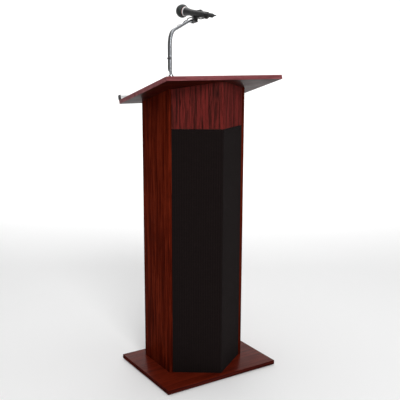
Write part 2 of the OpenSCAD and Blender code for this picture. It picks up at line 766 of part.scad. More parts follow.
// Quarter-inch plug on the inner end of the lead
module jack_plug() color("silver") {
    rod_y(4.8, -34, amp_front - 3.2, rear_jack[0], rear_jack[1]);
    rod_y(3.17, amp_front - 4, amp_front + 20, rear_jack[0], rear_jack[1]);
}

base_plate();
floor_glides();
base_screws();
left_side_panel();
right_side_panel();
left_apron_board();
right_apron_board();
left_baffle_board();
right_baffle_board();
grille_frame();
grille_cloth();
corner_cleats();
chamber_panel();
storage_shelf();
amplifier_shelf();
top_cleats();
top_panel();
book_stop();
book_stop_end_caps();
book_stop_screws();
speaker_baskets();
speaker_cones();
speaker_magnets();
speaker_screws();
speaker_leads();
amplifier_chassis();
circuit_board();
power_transformer();
control_panel();
panel_screws();
microphone_volume_knob();
auxiliary_volume_knob();
tone_knob();
potentiometers();
power_switch_frame();
power_rocker();
power_lamp();
input_jacks();
power_inlet();
gooseneck_flange();
flange_screws();
neck_foot();
neck_lower();
neck_bend();
neck_upper();
clip_yoke();
clip_pivot_screw();
clip_cradle();
mic_body();
mic_head_grille();
mic_collar_ring();
mic_switch();
mic_plug();
cable_run();
cable_lower();
cable_bend();
cable_upper();
cable_tail();
cable_grommet();
jack_plug();
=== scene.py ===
import json
import math
import random

import bmesh
import bpy
import numpy as np
from mathutils import Matrix, Vector


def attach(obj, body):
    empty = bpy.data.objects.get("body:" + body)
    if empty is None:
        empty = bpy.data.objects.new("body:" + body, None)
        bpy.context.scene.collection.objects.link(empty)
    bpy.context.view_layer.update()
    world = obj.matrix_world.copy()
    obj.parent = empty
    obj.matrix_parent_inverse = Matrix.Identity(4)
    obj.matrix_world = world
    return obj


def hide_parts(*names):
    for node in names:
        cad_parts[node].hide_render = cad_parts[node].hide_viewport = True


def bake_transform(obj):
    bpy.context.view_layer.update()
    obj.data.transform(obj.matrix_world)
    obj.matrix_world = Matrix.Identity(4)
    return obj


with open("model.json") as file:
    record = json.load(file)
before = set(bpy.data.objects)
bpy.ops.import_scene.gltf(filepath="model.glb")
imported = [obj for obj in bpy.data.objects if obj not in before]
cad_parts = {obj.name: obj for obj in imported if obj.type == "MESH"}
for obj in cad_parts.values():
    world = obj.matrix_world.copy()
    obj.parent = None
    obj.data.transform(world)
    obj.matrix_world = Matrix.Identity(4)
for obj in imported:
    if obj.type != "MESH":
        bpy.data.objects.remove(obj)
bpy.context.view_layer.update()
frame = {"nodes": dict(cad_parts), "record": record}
NODES = frame["nodes"]
SLOT = {part["node"]: part["material_slot"] for part in frame["record"]["subparts"]}
MM = 0.001

# ---------------------------------------------------------------- sizes shared with the CAD, in mm
TOP_FRONT, LECTERN_H, SLOPE = -191.0, 1171.0, math.radians(15)
BOARD_T, TOP_W, TOP_LEN, BASE_TOP = 16.0, 500.0, 382.0, 19.0
HALF_FRONT, COLUMN_FRONT, RIDGE_Y, GRILLE_TOP = 158.4, -64.5, -172.0, 977.0
NECK_X, NECK_Y, NECK_HEADING, NECK_R = -205.0, -143.0, math.radians(39.67), 5.25
FLEX_LOW, FLEX_MID, ARCH_R, CLIMB, REACH = 1200.0, 1275.0, 54.0, math.radians(13), 140.0
FOOT_R, LEVEL_R, NECK_TIP, CABLE_R = 150.0, 220.0, 12.0, 2.2
CABLE_SIDE = NECK_R + CABLE_R + 0.35
MIC_HEADING, MIC_TILT, MIC_RISE = math.radians(10), math.radians(8), 20.0
HEAD_Y, HEAD_R, PLUG_Y, TAIL_Y = 75.0, 25.5, -94.0, -70.0
CONTROL_Z, PANEL_FACE = 1000.0, 115.0
ARCH_END = (ARCH_R * (1 - math.sin(CLIMB)), FLEX_MID + ARCH_R * math.cos(CLIMB))
LEVEL_START = (ARCH_END[0] + REACH * math.cos(CLIMB), ARCH_END[1] + REACH * math.sin(CLIMB))
NECK_END = (LEVEL_START[0] + LEVEL_R * math.sin(CLIMB) + NECK_TIP,
            LEVEL_START[1] + LEVEL_R * (1 - math.cos(CLIMB)))


def turn_z(angle, p):
    c, s = math.cos(angle), math.sin(angle)
    return np.array([p[0] * c - p[1] * s, p[0] * s + p[1] * c, p[2]], float)


def turn_x(angle, p):
    c, s = math.cos(angle), math.sin(angle)
    return np.array([p[0], p[1] * c - p[2] * s, p[1] * s + p[2] * c], float)


def at_neck(s, side, z):
    return np.array([NECK_X, NECK_Y, 0.0]) + turn_z(NECK_HEADING, (s, side, z))


PIVOT = at_neck(NECK_END[0] + 26.3, 0, NECK_END[1] + 12.2)


def at_clip(p):
    return PIVOT + turn_z(MIC_HEADING, p)


def at_mic(p):
    return at_clip(turn_x(MIC_TILT, p))


def on_top(p):
    return np.array([0, TOP_FRONT, LECTERN_H]) + turn_x(-SLOPE, p)


def on_facet(u, d, z, side=-1):
    """Point on a front facet: u from the ridge, d behind the face; side is -1 for the left one."""
    a = math.atan2(COLUMN_FRONT - RIDGE_Y, HALF_FRONT)
    return np.array([side * (u * math.cos(a) - d * math.sin(a)), RIDGE_Y + u * math.sin(a) + d * math.cos(a), z])


# ---------------------------------------------------------------- shader helpers
class Paint:
    """A procedural material built from a few kinds of node."""

    def __init__(self, name, **sockets):
        self.mat = bpy.data.materials.new(name)
        self.mat.use_nodes = True
        self.tree = self.mat.node_tree
        self.shader = self.tree.nodes["Principled BSDF"]
        for key, value in sockets.items():
            self.set(key.replace("_", " "), value)
        self.place = self.tree.nodes.new("ShaderNodeTexCoord").outputs["Object"]

    def set(self, socket, value):
        target = self.shader.inputs[socket]
        if isinstance(value, bpy.types.NodeSocket):
            self.tree.links.new(value, target)
        elif isinstance(value, tuple):
            target.default_value = (*value, 1.0) if len(value) == 3 and len(target.default_value) == 4 else value
        else:
            target.default_value = value

    def feed(self, node, socket, value):
        if isinstance(value, bpy.types.NodeSocket):
            self.tree.links.new(value, node.inputs[socket])
        else:
            node.inputs[socket].default_value = value

    def mapped(self, scale, rotation=(0, 0, 0), offset=(0, 0, 0), source=None):
        node = self.tree.nodes.new("ShaderNodeMapping")
        self.tree.links.new(source or self.place, node.inputs["Vector"])
        node.inputs["Scale"].default_value = scale
        node.inputs["Rotation"].default_value = rotation
        node.inputs["Location"].default_value = offset
        return node.outputs["Vector"]

    def noise(self, where, scale, detail=4.0, rough=0.55, distortion=0.0):
        node = self.tree.nodes.new("ShaderNodeTexNoise")
        self.feed(node, "Vector", where)
        for key, value in (("Scale", scale), ("Detail", detail), ("Roughness", rough), ("Distortion", distortion)):
            node.inputs[key].default_value = value
        return node.outputs["Fac"]

    def wave(self, where, scale, distortion=0.0, detail=2.0, direction="X"):
        node = self.tree.nodes.new("ShaderNodeTexWave")
        node.bands_direction = direction
        self.feed(node, "Vector", where)
        for key, value in (("Scale", scale), ("Distortion", distortion), ("Detail", detail)):
            node.inputs[key].default_value = value
        return node.outputs["Fac"]

    def cells(self, where, scale, feature="F1"):
        node = self.tree.nodes.new("ShaderNodeTexVoronoi")
        node.feature = feature
        self.feed(node, "Vector", where)
        node.inputs["Scale"].default_value = scale
        return node.outputs["Distance"]

    def ramp(self, value, stops):
        node = self.tree.nodes.new("ShaderNodeValToRGB")
        self.feed(node, "Fac", value)
        band = node.color_ramp
        band.elements[0].position, band.elements[1].position = stops[0][0], stops[-1][0]
        for place, _ in stops[1:-1]:
            band.elements.new(place)
        for element, (_, colour) in zip(sorted(band.elements, key=lambda e: e.position), stops):
            element.color = (*colour, 1) if isinstance(colour, tuple) else (colour, colour, colour, 1)
        return node.outputs["Color"]

    def maths(self, kind, a, b=0.0):
        node = self.tree.nodes.new("ShaderNodeMath")
        node.operation = kind
        self.feed(node, 0, a)
        self.feed(node, 1, b)
        return node.outputs[0]

    def mix(self, share, a, b, kind="MIX"):
        node = self.tree.nodes.new("ShaderNodeMix")
        node.data_type = "RGBA"
        node.blend_type = kind
        for socket, value in ((0, share), (6, a), (7, b)):
            if isinstance(value, bpy.types.NodeSocket):
                self.tree.links.new(value, node.inputs[socket])
            else:
                node.inputs[socket].default_value = (*value, 1) if isinstance(value, tuple) else value
        return node.outputs[2]

    def bump(self, height, strength, distance, coat=False):
        node = self.tree.nodes.new("ShaderNodeBump")
        self.feed(node, "Height", height)
        node.inputs["Strength"].default_value = strength
        node.inputs["Distance"].default_value = distance
        self.tree.links.new(node.outputs["Normal"], self.shader.inputs["Coat Normal" if coat else "Normal"])
        return node.outputs["Normal"]


def mahogany(name, along, dark, mid, light, offset=(0, 0, 0), slant=0.0, gloss=0.23, streak=1.0,
             coat=0.012, sheen_level=0.0,
             ribbons=72.0):
    """Mahogany laminate: straight ribbon figure, fine pores and a satin lacquer."""
    p = Paint(name, Roughness=0.4, Specular_IOR_Level=sheen_level, Coat_Weight=coat,
              Coat_Roughness=gloss, Coat_IOR=1.5)
    across, run = 1.0, 0.045
    scale = [across] * 3
    scale["xyz".index(along)] = run
    turned = (0, slant, 0) if along == "z" else (0, 0, slant)
    where = p.mapped(tuple(scale), rotation=turned, offset=offset)
    warp = p.noise(p.mapped((5, 5, 5), offset=offset), 1.0, 2.0)
    ribbon = p.noise(where, ribbons, 3.0, 0.6, 0.6)
    fine = p.noise(where, 210.0, 5.0, 0.7)
    pores = p.noise(p.mapped(tuple(s * (0.6 if s < 1 else 1) for s in scale), rotation=turned, offset=offset), 900.0, 2.0)
    figure = p.maths("ADD", p.maths("MULTIPLY", ribbon, 0.62), p.maths("MULTIPLY", fine, 0.38 * streak))
    figure = p.maths("ADD", figure, p.maths("MULTIPLY", p.maths("SUBTRACT", warp, 0.5), 0.12))
    colour = p.ramp(figure, [(0.38, dark), (0.49, mid), (0.59, light)])
    pore = p.ramp(pores, [(0.30, 0.0), (0.42, 1.0)])
    colour = p.mix(p.maths("SUBTRACT", 1.0, pore), colour, tuple(c * 0.35 for c in dark))
    p.set("Base Color", colour)
    p.set("Roughness", p.ramp(p.noise(p.place, 14.0, 5.0), [(0.3, 0.34), (0.7, 0.46)]))
    smear = p.noise(p.mapped((3, 3, 3)), 6.0, 4.0)
    p.set("Coat Roughness", p.ramp(smear, [(0.3, gloss - 0.03), (0.7, gloss + 0.05)]))
    p.bump(p.maths("ADD", p.maths("MULTIPLY", pore, 0.5), fine), 0.25, 0.0002)
    p.bump(p.noise(p.place, 40.0, 2.0), 0.04, 0.0004, coat=True)
    return p.mat


def build_materials():
    made = {}
    dark, mid, light = (0.044, 0.0044, 0.0016), (0.082, 0.0078, 0.0026), (0.140, 0.0160, 0.0056)
    made["mahogany"] = mahogany("mahogany_upright", "z", dark, mid, light)
    made["mahogany_right"] = mahogany("mahogany_upright_right", "z", dark, mid, light, offset=(1.7, 0.9, 0.4))
    made["mahogany_apron"] = mahogany("mahogany_apron", "z", (0.024, 0.006, 0.005), (0.058, 0.012, 0.010),
                                      (0.155, 0.020, 0.017), offset=(0.3, 0.2, 0.1), slant=0.10, streak=1.2,
                                      coat=0.02, sheen_level=0.0, ribbons=88.0)
    made["mahogany_flat"] = mahogany("mahogany_flat", "x", dark, mid, light, offset=(0.1, 0.6, 0.2), gloss=0.2,
                                     coat=0.05)
    # darker copy of the mahogany for the top's underside: painted shade under the overhang
    made["mahogany_under_painted_shade"] = mahogany("mahogany_under_painted_shade", "x", (0.012, 0.0014, 0.0007), (0.026, 0.0028, 0.0014),
                                      (0.048, 0.0056, 0.0028), offset=(0.4, 0.1, 0.9), gloss=0.18, coat=0.095,
                                      sheen_level=0.02)
    made["mahogany_base"] = mahogany("mahogany_base", "x", (0.056, 0.0050, 0.0018), (0.084, 0.0076, 0.0026),
                                     (0.118, 0.0120, 0.0042), offset=(0.8, 0.2, 0.5), gloss=0.16,
                                     coat=0.15, sheen_level=0.03)
    # lighter copy for the top's edges: pinkish edge-band tone plus a painted highlight from the key light
    made["mahogany_edge_band_painted_highlight"] = mahogany("mahogany_edge_band_painted_highlight", "x", (0.13, 0.030, 0.034), (0.21, 0.055, 0.060),
                                     (0.28, 0.085, 0.09), offset=(0.5, 0.1, 0.7), gloss=0.16, coat=0.1, sheen_level=0.1)
    # darker copy for the base's upright edges: painted shade where less overhead light falls
    made["mahogany_base_edge_painted_shade"] = mahogany("mahogany_base_edge_painted_shade", "x", (0.028, 0.004, 0.003), (0.052, 0.007, 0.005),
                                         (0.085, 0.012, 0.008), offset=(0.2, 0.4, 0.7), gloss=0.2)

    p = Paint("raw_board", Roughness=0.75)
    grain = p.noise(p.mapped((1, 1, 0.06)), 60.0, 5.0, 0.6, 0.4)
    p.set("Base Color", p.ramp(grain, [(0.3, (0.30, 0.19, 0.10)), (0.5, (0.47, 0.33, 0.19)), (0.7, (0.58, 0.44, 0.28))]))
    p.bump(p.noise(p.mapped((1, 1, 0.2)), 500.0, 3.0), 0.3, 0.0003)
    made["raw_board"] = p.mat

    p = Paint("grille_cloth", Roughness=0.85, Sheen_Weight=0.012, Sheen_Roughness=0.5, Specular_IOR_Level=0.02)
    warp = p.wave(p.mapped((1, 1, 0.0)), 260.0, 0.3, 1.0, "DIAGONAL")
    weft = p.wave(p.mapped((0.0, 0.0, 1.0)), 260.0, 0.3, 1.0, "Z")
    weave = p.maths("MAXIMUM", warp, weft)
    slub = p.noise(p.mapped((1, 1, 12)), 30.0, 4.0)
    tone = p.mix(slub, (0.013, 0.0092, 0.0088), (0.029, 0.020, 0.019))
    p.set("Base Color", p.mix(p.maths("MULTIPLY", weave, 0.35), (0.006, 0.004, 0.004), tone))
    p.bump(weave, 0.35, 0.0004)
    made["grille_cloth"] = p.mat

    def metal(name, colour, rough, grain_scale=(1, 1, 1), scratch=0.08, metallic=1.0, bump=0.05):
        p = Paint(name, Metallic=metallic)
        wear = p.noise(p.mapped(grain_scale), 120.0, 5.0, 0.6)
        spots = p.noise(p.place, 18.0, 3.0)
        p.set("Base Color", p.mix(spots, tuple(c * 0.88 for c in colour), colour))
        p.set("Roughness", p.ramp(wear, [(0.3, rough), (0.7, rough + scratch)]))
        p.bump(wear, bump, 0.0002)
        return p.mat

    made["aluminium"] = metal("aluminium", (0.62, 0.62, 0.62), 0.30, (0.02, 1, 1), 0.12, bump=0.12)
    made["chrome"] = metal("chrome", (0.33, 0.34, 0.36), 0.10, (1, 1, 1), 0.06)
    made["zinc"] = metal("zinc", (0.50, 0.51, 0.53), 0.32, (1, 1, 1), 0.18, bump=0.15)
    made["copper"] = metal("copper", (0.55, 0.24, 0.11), 0.35, (1, 1, 1), 0.15, bump=0.2)

    def coated(name, dark_tone, light_tone, rough, grain=300.0, depth=0.15, **more):
        p = Paint(name, **more)
        speck = p.noise(p.place, grain, 3.0, 0.6)
        rub = p.noise(p.place, 22.0, 5.0)
        p.set("Base Color", p.mix(rub, dark_tone, light_tone))
        p.set("Roughness", p.ramp(rub, [(0.3, rough - 0.06), (0.7, rough + 0.1)]))
        p.bump(speck, depth, 0.0003)
        return p.mat

    made["black_paint"] = coated("black_paint", (0.012, 0.012, 0.013), (0.022, 0.022, 0.023), 0.5)
    made["grey_paint"] = coated("grey_paint", (0.10, 0.10, 0.105), (0.15, 0.15, 0.155), 0.45)
    made["black_plastic"] = coated("black_plastic", (0.016, 0.016, 0.017), (0.030, 0.030, 0.031), 0.42, 500.0)
    made["gloss_black"] = coated("gloss_black", (0.010, 0.010, 0.011), (0.017, 0.017, 0.018), 0.16, 200.0, 0.04,
                                 Coat_Weight=0.5)
    made["white_ring"] = coated("white_ring", (0.62, 0.62, 0.62), (0.80, 0.80, 0.80), 0.35, 300.0, 0.05)
    made["red_ring"] = coated("red_ring", (0.45, 0.02, 0.03), (0.62, 0.04, 0.05), 0.3, 300.0, 0.05)
    made["red_lens"] = coated("red_lens", (0.35, 0.01, 0.01), (0.6, 0.02, 0.015), 0.15, 200.0, 0.03,
                              Transmission_Weight=0.25, Coat_Weight=0.4)
    made["rubber"] = coated("rubber", (0.014, 0.014, 0.014), (0.028, 0.027, 0.026), 0.65, 700.0, 0.3)
    made["paper_cone"] = coated("paper_cone", (0.018, 0.017, 0.016), (0.036, 0.034, 0.032), 0.8, 420.0, 0.6)
    made["cable_sheath"] = coated("cable_sheath", (0.022, 0.022, 0.023), (0.045, 0.045, 0.047), 0.38, 500.0, 0.12,
                                  Coat_Weight=0.3)
    made["mic_enamel"] = coated("mic_enamel", (0.008, 0.007, 0.008), (0.014, 0.013, 0.014), 0.34, 900.0, 0.12,
                                Coat_Weight=0.3)

    p = Paint("circuit", Roughness=0.35, Coat_Weight=0.4)
    lanes = p.cells(p.mapped((1, 1, 1)), 110.0)
    p.set("Base Color", p.ramp(lanes, [(0.12, (0.30, 0.16, 0.05)), (0.2, (0.01, 0.10, 0.03)), (0.8, (0.006, 0.06, 0.02))]))
    p.bump(lanes, 0.2, 0.0002)
    made["circuit"] = p.mat

    p = Paint("mic_mesh", Metallic=1.0, Roughness=0.34)
    uv = p.tree.nodes.new("ShaderNodeTexCoord").outputs["UV"]
    one = p.wave(p.mapped((110, 34, 1), source=uv), 0.3183, direction="X")
    two = p.wave(p.mapped((110, 34, 1), source=uv), 0.3183, direction="Y")
    wire = p.maths("MAXIMUM", one, two)
    p.set("Base Color", p.ramp(wire, [(0.35, (0.004, 0.004, 0.005)), (0.75, (0.075, 0.085, 0.082))]))
    p.bump(wire, 0.8, 0.0006)
    made["mic_mesh"] = p.mat
    return made


MATS = build_materials()


# ---------------------------------------------------------------- mesh helpers, points in mm
def add_mesh(name, verts, faces, material, body, smooth=True, uv=None):
    mesh = bpy.data.meshes.new(name)
    mesh.from_pydata([tuple(float(x) * MM for x in v) for v in verts], [], faces)
    mesh.validate()
    if uv is not None:
        layer = mesh.uv_layers.new(name="UVMap")
        for poly in mesh.polygons:
            for i in poly.loop_indices:
                layer.data[i].uv = uv(mesh.loops[i].vertex_index, poly.index)
    mesh.materials.append(material)
    if smooth:
        mesh.shade_smooth()
        mesh.set_sharp_from_angle(angle=math.radians(42))
    obj = bpy.data.objects.new(name, mesh)
    bpy.context.scene.collection.objects.link(obj)
    if body:
        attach(obj, body)
    return obj


def smooth_route(points, steps):
    """The same smooth curve through the points as in the CAD source."""
    p = [np.array(q, float) for q in points]
    out = []
    for i in range(len(p) - 1):
        a, b, c, d = p[max(i - 1, 0)], p[i], p[i + 1], p[min(i + 2, len(p) - 1)]
        for k in range(steps):
            t = k / steps
            out.append(0.5 * (2 * b + (c - a) * t + (2 * a - 5 * b + 4 * c - d) * t * t
                              + (3 * b - a - 3 * c + d) * t ** 3))
    out.append(p[-1])
    return np.array(out)


def even(points, step):
    """The route again, with points at an even distance."""
    seg = np.linalg.norm(np.diff(points, axis=0), axis=1)
    run = np.concatenate([[0], np.cumsum(seg)])
    count = max(2, int(round(run[-1] / step)) + 1)
    at = np.linspace(0, run[-1], count)
    return np.stack([np.interp(at, run, points[:, k]) for k in range(3)], 1), at


def sweep_rings(points, radius_at, sides):
    """Rings of a tube along the points; radius_at(length, angle) gives the radius."""
    tangent = np.gradient(points, axis=0)
    tangent /= np.linalg.norm(tangent, axis=1)[:, None]
    run = np.concatenate([[0], np.cumsum(np.linalg.norm(np.diff(points, axis=0), axis=1))])
    side = np.cross(tangent[0], (0.3, 0.2, 0.93))
    rings = []
    for i, t in enumerate(tangent):
        side = side - (side @ t) * t
        side /= np.linalg.norm(side)
        other = np.cross(t, side)
        ring = []
        for k in range(sides):
            a = 2 * math.pi * k / sides
            r = radius_at(run[i], a)
            ring.append(points[i] + r * (math.cos(a) * side + math.sin(a) * other))
        rings.append(ring)
    return rings


def tube_piece(name, rings, first, last, material, body=None, caps=(True, True)):
    sides = len(rings[0])
    part = rings[first:last + 1]
    verts = [v for ring in part for v in ring]
    faces = [(i * sides + k, i * sides + (k + 1) % sides, (i + 1) * sides + (k + 1) % sides, (i + 1) * sides + k)
             for i in range(len(part) - 1) for k in range(sides)]
    if caps[0]:
        faces.append(tuple(range(sides))[::-1])
    if caps[1]:
        faces.append(tuple((len(part) - 1) * sides + k for k in range(sides)))
    return add_mesh(name, verts, faces, material, body)


def lathe(name, outline, place, material, body, sides=64):
    """Turned shape; outline is [(radius, along)], place(x, along, z) puts a point in the row frame."""
    verts, faces = [], []
    for r, y in outline:
        for k in range(sides):
            a = 2 * math.pi * k / sides
            verts.append(place(r * math.cos(a), y, r * math.sin(a)))
    n = len(outline)
    for i in range(n - 1):
        for k in range(sides):
            faces.append((i * sides + k, (i + 1) * sides + k, (i + 1) * sides + (k + 1) % sides, i * sides + (k + 1) % sides))
    if outline[0][0] > 1e-6:
        faces.append(tuple(range(sides)))
    if outline[-1][0] > 1e-6:
        faces.append(tuple((n - 1) * sides + k for k in range(sides))[::-1])

    def uv(v, _):
        return ((v % sides) / sides, (v // sides) / max(1, n - 1))

    return add_mesh(name, verts, faces, material, body, uv=uv)


def softened(node, material, width, faced=(), segments=2):
    """A board of the CAD with its edges eased; it stands for the CAD node. faced gives (material, test of a normal)."""
    source = NODES[node]
    bm = bmesh.new()
    bm.from_mesh(source.data)
    bmesh.ops.remove_doubles(bm, verts=bm.verts, dist=2e-6)
    bmesh.ops.dissolve_limit(bm, angle_limit=math.radians(1.0), verts=bm.verts, edges=bm.edges)
    long_edges = [e for e in bm.edges if len(e.link_faces) == 2 and e.calc_length() > 0.012
                  and e.calc_face_angle(0) > math.radians(25)]
    bmesh.ops.bevel(bm, geom=long_edges, offset=width * MM, segments=segments, profile=0.6, affect="EDGES",
                    clamp_overlap=True)
    mesh = bpy.data.meshes.new(node + "_eased")
    bm.to_mesh(mesh)
    bm.free()
    mesh.materials.append(material)
    for index, (other, chosen) in enumerate(faced, 1):
        mesh.materials.append(other)
        for poly in mesh.polygons:
            if chosen(poly.normal):
                poly.material_index = index
    mesh.shade_smooth()
    mesh.set_sharp_from_angle(angle=math.radians(30))
    obj = bpy.data.objects.new(node + "_eased", mesh)
    bpy.context.scene.collection.objects.link(obj)
    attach(obj, "lectern")
    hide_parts(node)
    return obj


# ---------------------------------------------------------------- finishes of the CAD pieces that stay
for name, obj in NODES.items():
    obj.data.materials.clear()
    obj.data.materials.append(MATS[SLOT[name]])

# ---------------------------------------------------------------- boards
tilt_up = Vector((0, math.sin(SLOPE), math.cos(SLOPE)))
softened("left_side_panel", MATS["mahogany"], 0.8)
softened("right_side_panel", MATS["mahogany_right"], 0.8)
softened("left_apron_board", MATS["mahogany_apron"], 0.6)
softened("right_apron_board", MATS["mahogany_apron"], 0.6)
softened("storage_shelf", MATS["mahogany_flat"], 0.8)
softened("amplifier_shelf", MATS["mahogany_flat"], 0.8)
# upright faces of the base get the darker copy: painted shade
softened("base_plate", MATS["mahogany_base"], 1.4,
         [(MATS["mahogany_base_edge_painted_shade"], lambda n: abs(n.z) < 0.8)], 3)
# the top's edges get the lighter copy (painted highlight) and its underside the darker copy (painted shade)
softened("top_panel", MATS["mahogany_flat"], 1.4,
         [(MATS["mahogany_edge_band_painted_highlight"], lambda n: abs(n.dot(tilt_up)) < 0.8),
          (MATS["mahogany_under_painted_shade"], lambda n: n.dot(tilt_up) < -0.8)], 3)
softened("chamber_panel", MATS["mahogany_right"], 0.6)
softened("book_stop", MATS["aluminium"], 0.4)
softened("book_stop_end_caps", MATS["black_plastic"], 0.4)


# ---------------------------------------------------------------- grille cloth
def grille_cloth():
    """One cloth over both facets, stretched over the frame; it draws in a little between its staples."""
    rng = random.Random(11)
    length = math.hypot(HALF_FRONT, COLUMN_FRONT - RIDGE_Y)
    cols, rows = 46, 60
    us = [-length + 2 * length * i / (2 * cols) for i in range(2 * cols + 1)]
    zs = [BASE_TOP + 0.4 + (GRILLE_TOP - BASE_TOP - 1.4) * j / rows for j in range(rows + 1)]
    phase = [rng.uniform(0, 6.28) for _ in range(4)]
    verts = []
    for z in zs:
        near_end = max(0.0, 1 - min(z - zs[0], zs[-1] - z) / 45.0)
        for u in us:
            pull = 0.35 + 0.25 * math.sin(u * 0.021 + phase[0]) * math.sin(z * 0.009 + phase[1])
            pull += 0.30 * near_end * (0.5 + 0.5 * math.cos(u * 2 * math.pi / 24 + phase[2]))
            rounding = max(0.0, 1 - abs(u) / 2.2) * 0.5
            point = on_facet(abs(u), min(0.98, pull) * 0.6 + rounding, z, -1 if u < 0 else 1)
            verts.append(point)
    wide = len(us)
    faces = [(j * wide + i, j * wide + i + 1, (j + 1) * wide + i + 1, (j + 1) * wide + i)
             for j in range(rows) for i in range(wide - 1)]
    cloth = add_mesh("grille_cloth_sheet", verts, faces, MATS["grille_cloth"], "lectern")
    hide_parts("grille_cloth")
    return cloth


grille_cloth()


# ---------------------------------------------------------------- gooseneck
def neck_line():
    low = []
    for a in np.linspace(math.radians(14.3), 0, 24)[:-1]:
        low.append([NECK_X, NECK_Y - FOOT_R * (1 - math.cos(a)), FLEX_LOW - FOOT_R * math.sin(a)])
    for z in np.linspace(FLEX_LOW, FLEX_MID, 30)[:-1]:
        low.append(at_neck(0, 0, z))
    for a in np.linspace(0, math.pi / 2 - CLIMB, 40)[:-1]:
        low.append(at_neck(ARCH_R * (1 - math.cos(a)), 0, FLEX_MID + ARCH_R * math.sin(a)))
    for t in np.linspace(0, 1, 30)[:-1]:
        low.append(at_neck(ARCH_END[0] + t * (LEVEL_START[0] - ARCH_END[0]), 0,
                           ARCH_END[1] + t * (LEVEL_START[1] - ARCH_END[1])))
    for a in np.linspace(CLIMB, 0, 14):
        low.append(at_neck(LEVEL_START[0] + LEVEL_R * (math.sin(CLIMB) - math.sin(a)), 0,
                           LEVEL_START[1] + LEVEL_R * (math.cos(a) - math.cos(CLIMB))))
    low.append(at_neck(NECK_END[0], 0, NECK_END[1]))
    return np.array(low)


def nearest(points, target):
    return int(np.argmin(np.linalg.norm(points - np.array(target), axis=1)))


def arch(angle, side=0.0):
    a = math.radians(angle)
    return at_neck(ARCH_R * (1 - math.cos(a)), side, FLEX_MID + ARCH_R * math.sin(a))


def blended(obj, a, b, start, end):
    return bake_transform(obj)


def climb_z(s):
    return ARCH_END[1] + (s - ARCH_END[0]) * math.tan(CLIMB)


points, _ = even(neck_line(), 0.62)
pitch = 2.5
rings = sweep_rings(points,
                    lambda run, a: NECK_R - 0.34 * (0.5 - 0.5 * math.cos(2 * math.pi * run / pitch - a)) ** 2, 22)
cut_a = nearest(points, at_neck(0, 0, (FLEX_LOW + FLEX_MID) / 2))
cut_b = nearest(points, arch(38.5))
chrome = MATS["chrome"]
low = tube_piece("gooseneck_low", rings, 0, cut_a, chrome, None, (True, False))
middle = tube_piece("gooseneck_middle", rings, cut_a, cut_b, chrome, None, (False, False))
high = tube_piece("gooseneck_high", rings, cut_b, len(rings) - 1, chrome, None, (False, True))
LOW_BEND = (at_neck(0, 0, FLEX_LOW - 14), at_neck(0, 0, FLEX_LOW + 14))
MID_BEND = (at_neck(0, 0, FLEX_MID - 16), at_neck(1.5, 0, FLEX_MID + 16))
HIGH_BEND = (at_neck(ARCH_END[0] - 15, 0, climb_z(ARCH_END[0] - 15)),
             at_neck(ARCH_END[0] + 15, 0, climb_z(ARCH_END[0] + 15)))
blended(low, "lectern", "neck_lower", *LOW_BEND)
blended(middle, "neck_lower", "neck_bend", *MID_BEND)
blended(high, "neck_bend", "neck_upper", *HIGH_BEND)
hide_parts("neck_foot")
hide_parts("neck_lower", "neck_bend")
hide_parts("neck_upper")

# ---------------------------------------------------------------- microphone lead
run_route = [
    at_neck(0, CABLE_SIDE, FLEX_LOW - 1.5), (-208.5, -136, 1191), (-203.5, -135.5, 1183), (-195, -138, 1173),
    (-187, -138, 1163), (-180, -132, 1158), (-168, -117, 1153.8), (-150, -90, 1146.5), (-136, -68, 1141),
    (-128, -56, 1146), (-122, -49.5, 1147.5), (-120, -48.5, 1139), (-120, -51.5, 1127), (-120, -55.5, 1112),
    (-120, -56, 1085), (-120, -54, 1056), (-120, -49, 1034), (-120, -42, 1023), (-120, -34, 1020),
]
upper_route = [at_neck(s, CABLE_SIDE, climb_z(s)) for s in (ARCH_END[0] + 1.4, 60, 90, 120, 150)]
upper_route += [at_neck(176, 11, 1361.5), at_neck(204, 19, 1363.5), at_neck(229, 25, 1367)]
upper_route += [at_clip(p) for p in ((-16, 26, -6), (-5, 35, 0), (6, 36, 4), (16, 30, 5),
                                     (22, 20, 3.5), (24, 9, 1.3))]
tail_route = [at_mic(p) for p in ((24, -9, 0.5), (25, -24, 5), (27, -42, 12), (29, -60, 17.5), (29, -74, 19.5),
                                  (26.5, PLUG_Y + 9.5, 20), (23, PLUG_Y + 8, 20), (20.2, PLUG_Y + 8, 20))]
straight = [at_neck(0, CABLE_SIDE, z) for z in np.linspace(FLEX_LOW + 6, FLEX_MID, 8)[:-1]]
bent = [arch(a, CABLE_SIDE) for a in np.linspace(0, 77, 14)[:-1]]
whole = smooth_route(run_route[::-1] + straight + bent + upper_route + tail_route, 6)
points, _ = even(whole, 1.6)
rings = sweep_rings(points, lambda run, a: CABLE_R, 14)
cuts = [nearest(points, at_neck(0, CABLE_SIDE, (FLEX_LOW + FLEX_MID) / 2)), nearest(points, arch(38.5, CABLE_SIDE)),
        nearest(points, at_neck(135, CABLE_SIDE, climb_z(135))), nearest(points, at_clip((16, 30, 5)))]
sheath = MATS["cable_sheath"]
lead = [
    tube_piece("lead_low", rings, 0, cuts[0], sheath, None, (True, False)),
    tube_piece("lead_middle", rings, cuts[0], cuts[1], sheath, None, (False, False)),
    tube_piece("lead_high", rings, cuts[1], cuts[2], sheath, None, (False, False)),
    tube_piece("lead_loop", rings, cuts[2], cuts[3], sheath, "neck_upper", (False, False)),
    tube_piece("lead_tail", rings, cuts[3], len(rings) - 1, sheath, None, (False, True)),
]
blended(lead[0], "lectern", "neck_lower", *LOW_BEND)
blended(lead[1], "neck_lower", "neck_bend", *MID_BEND)
blended(lead[2], "neck_bend", "neck_upper", *HIGH_BEND)
blended(lead[4], "neck_upper", "microphone", at_clip((24, 14, 1)), at_clip((24, -14, 1)))
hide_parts("cable_run")
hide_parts("cable_lower", "cable_bend")
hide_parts("cable_upper")
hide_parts("cable_tail")


